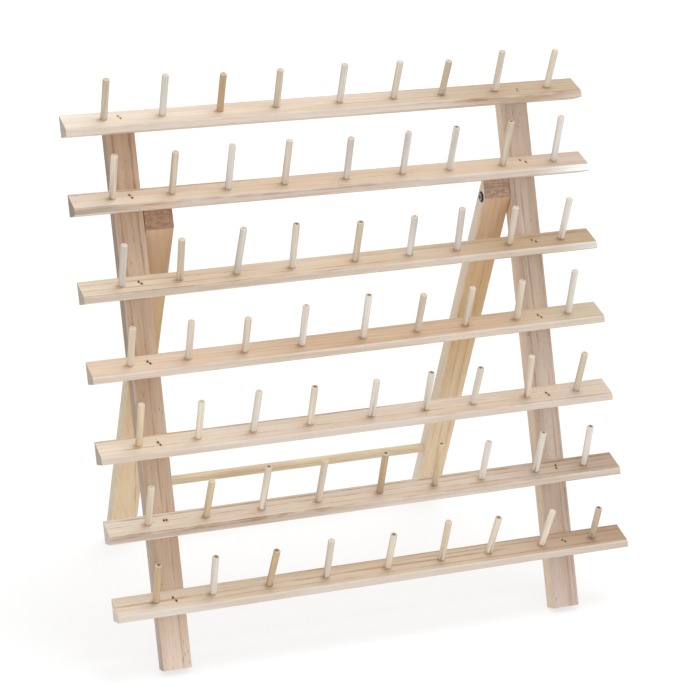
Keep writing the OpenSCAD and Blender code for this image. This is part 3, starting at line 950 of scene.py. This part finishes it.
metalShared = {
    "scratch": 0.3,
    "patchRough": 0.2,
    "bump": 0.15,
    "bumpReach": 0.00005,
}
metalLooks = {
    "boltBlack": {
        "pale": (40, 40, 42), "worn": (92, 92, 95), "wear": 0.3, "metallic": 0.9, "roughness": 0.3,
        "highlightRing": ((205, 205, 206), 0.0019, 0.0021, 0.0030)},  # a painted highlight ring where the socket's edge catches the light: where it sets in, is whole and ends
    "washerSteel": {
        "pale": (176, 174, 170), "worn": (128, 122, 114), "wear": 0.5, "metallic": 1.0, "roughness": 0.36},
    "insertBrass": {
        "pale": (196, 160, 92), "worn": (142, 108, 60), "wear": 0.5, "metallic": 1.0, "roughness": 0.34},
    "bradSteel": {
        "pale": (70, 48, 30), "worn": (104, 70, 42), "wear": 0.6, "metallic": 0.2, "roughness": 0.7},
    "bradPale": {
        "pale": (172, 152, 122), "worn": (130, 106, 78), "wear": 0.6, "metallic": 0.0, "roughness": 0.8},
}


def metalFinish(name, look):
    material, tree, shader = newMaterial(name)
    place = addNode(tree, "ShaderNodeTexCoord").outputs["Object"]
    wear = useGroup(tree, metalWear, {"Vector": place})
    colour = tint(tree, wear.outputs["Patches"], look["wear"], linear(*look["pale"]), look["worn"])
    colour = tint(tree, wear.outputs["Scratches"], look["scratch"], colour, look["worn"])
    # a painted highlight ring round the bolt's axis
    if "highlightRing" in look:
        tone, start, whole, end = look["highlightRing"]
        away = vectorCalc(tree, "SUBTRACT", place, Vector(hinge["pos_m"]))
        away = vectorCalc(tree, "LENGTH", vectorCalc(tree, "MULTIPLY", away, dropX))
        highlightRing = calc(tree, "MULTIPLY", fade(tree, away, start, whole), fade(tree, away, whole, end, 1.0, 0.0))
        colour = blendColour(tree, highlightRing, colour, linear(*tone))
    feed(tree, colour, shader.inputs["Base Color"])
    shader.inputs["Metallic"].default_value = look["metallic"]
    rough = calc(tree, "MULTIPLY_ADD", wear.outputs["Patches"], look["patchRough"], look["roughness"])
    feed(tree, rough, shader.inputs["Roughness"])
    addBump(tree, shader, wear.outputs["Patches"], look["bump"], look["bumpReach"])
    return material


metals = {name: metalFinish(name, dict(metalShared, **look)) for name, look in metalLooks.items()}
for side in ("left", "right"):
    setFinish(nodes[f"pivot_bolt_{side}"], metals["boltBlack"])
    setFinish(nodes[f"pivot_washer_{side}"], metals["washerSteel"])
    setFinish(nodes[f"threaded_insert_{side}"], metals["insertBrass"])
for row in rowNumbers:  # the top rail shows its brads least
    setFinish(nodes[f"brads_row_{row}"], metals["bradPale" if row == 1 else "bradSteel"])
print("hardware finished")


# studio: pale floor, white surround, soft light

studio = {
    "floorSize": 12.0,
    "floorColour": (246, 246, 246),
    "floorRough": 0.9,
    "floorGlow": 0.64,  # how much of the floor by the rack, as the camera sees it, is plain white
    "glowReach": (0.45, 1.3),  # the floor turns to plain white between these distances
    "glowLevel": 1.1,
    "skyLevel": 0.74,
    "lamps": [  # name, place, width across, watts
        ("softKey", (0.5, -0.2, 2.7), 1.2, 22.5),
        ("softFill", (-0.5, -2.4, 0.8), 1.4, 9.0),
    ],
    "lampAim": (0, 0, 0.2),
}


def seenMask(tree):  # 1 for what the camera sees, also in a reflection or through glass
    rays = addNode(tree, "ShaderNodeLightPath")
    seen = calc(tree, "MAXIMUM", rays.outputs["Is Camera Ray"], rays.outputs["Is Glossy Ray"])
    return calc(tree, "MAXIMUM", seen, rays.outputs["Is Transmission Ray"])


def makeFloor(setup):
    shape = bmesh.new()
    bmesh.ops.create_grid(shape, x_segments=1, y_segments=1, size=setup["floorSize"] / 2)
    mesh = bpy.data.meshes.new("studioFloor")
    shape.to_mesh(mesh)
    shape.free()
    floor = bpy.data.objects.new("studioFloor", mesh)
    bpy.context.scene.collection.objects.link(floor)
    material, tree, shader = newMaterial("floorPaper")
    shader.inputs["Base Color"].default_value = linear(*setup["floorColour"])
    shader.inputs["Roughness"].default_value = setup["floorRough"]
    glow = addNode(tree, "ShaderNodeEmission", {"Color": plainWhite, "Strength": setup["glowLevel"]})
    mixed = addNode(tree, "ShaderNodeMixShader")
    away = vectorCalc(tree, "LENGTH", addNode(tree, "ShaderNodeTexCoord").outputs["Object"])
    amount = fade(tree, away, *setup["glowReach"], setup["floorGlow"], 1.0)
    feed(tree, calc(tree, "MULTIPLY", seenMask(tree), amount), mixed.inputs[0])
    feed(tree, shader.outputs[0], mixed.inputs[1])
    feed(tree, glow.outputs[0], mixed.inputs[2])
    feed(tree, mixed.outputs[0], tree.nodes["Material Output"].inputs["Surface"])
    setFinish(floor, material)


def makeSurround(setup):
    world = bpy.data.worlds.new("whiteSurround")
    bpy.context.scene.world = world
    world.use_nodes = True
    tree = world.node_tree
    plain = tree.nodes["Background"]
    plain.inputs["Color"].default_value = plainWhite
    level = calc(tree, "MULTIPLY_ADD", seenMask(tree), 1.0 - setup["skyLevel"], setup["skyLevel"])
    feed(tree, level, plain.inputs["Strength"])


def makeLamps(setup):
    for name, place, width, watts in setup["lamps"]:
        lamp = bpy.data.lights.new(name, "AREA")
        lamp.shape = "DISK"
        lamp.size = width
        lamp.energy = watts
        holder = bpy.data.objects.new(name, lamp)
        aim = (Vector(setup["lampAim"]) - Vector(place)).normalized()
        turn = aim.to_track_quat("-Z", "Y").to_matrix().to_4x4()
        holder.matrix_world = Matrix.Translation(place) @ turn
        bpy.context.scene.collection.objects.link(holder)


makeFloor(studio)
makeSurround(studio)
makeLamps(studio)
bpy.context.scene.view_settings.view_transform = "Standard"
print("studio lit")
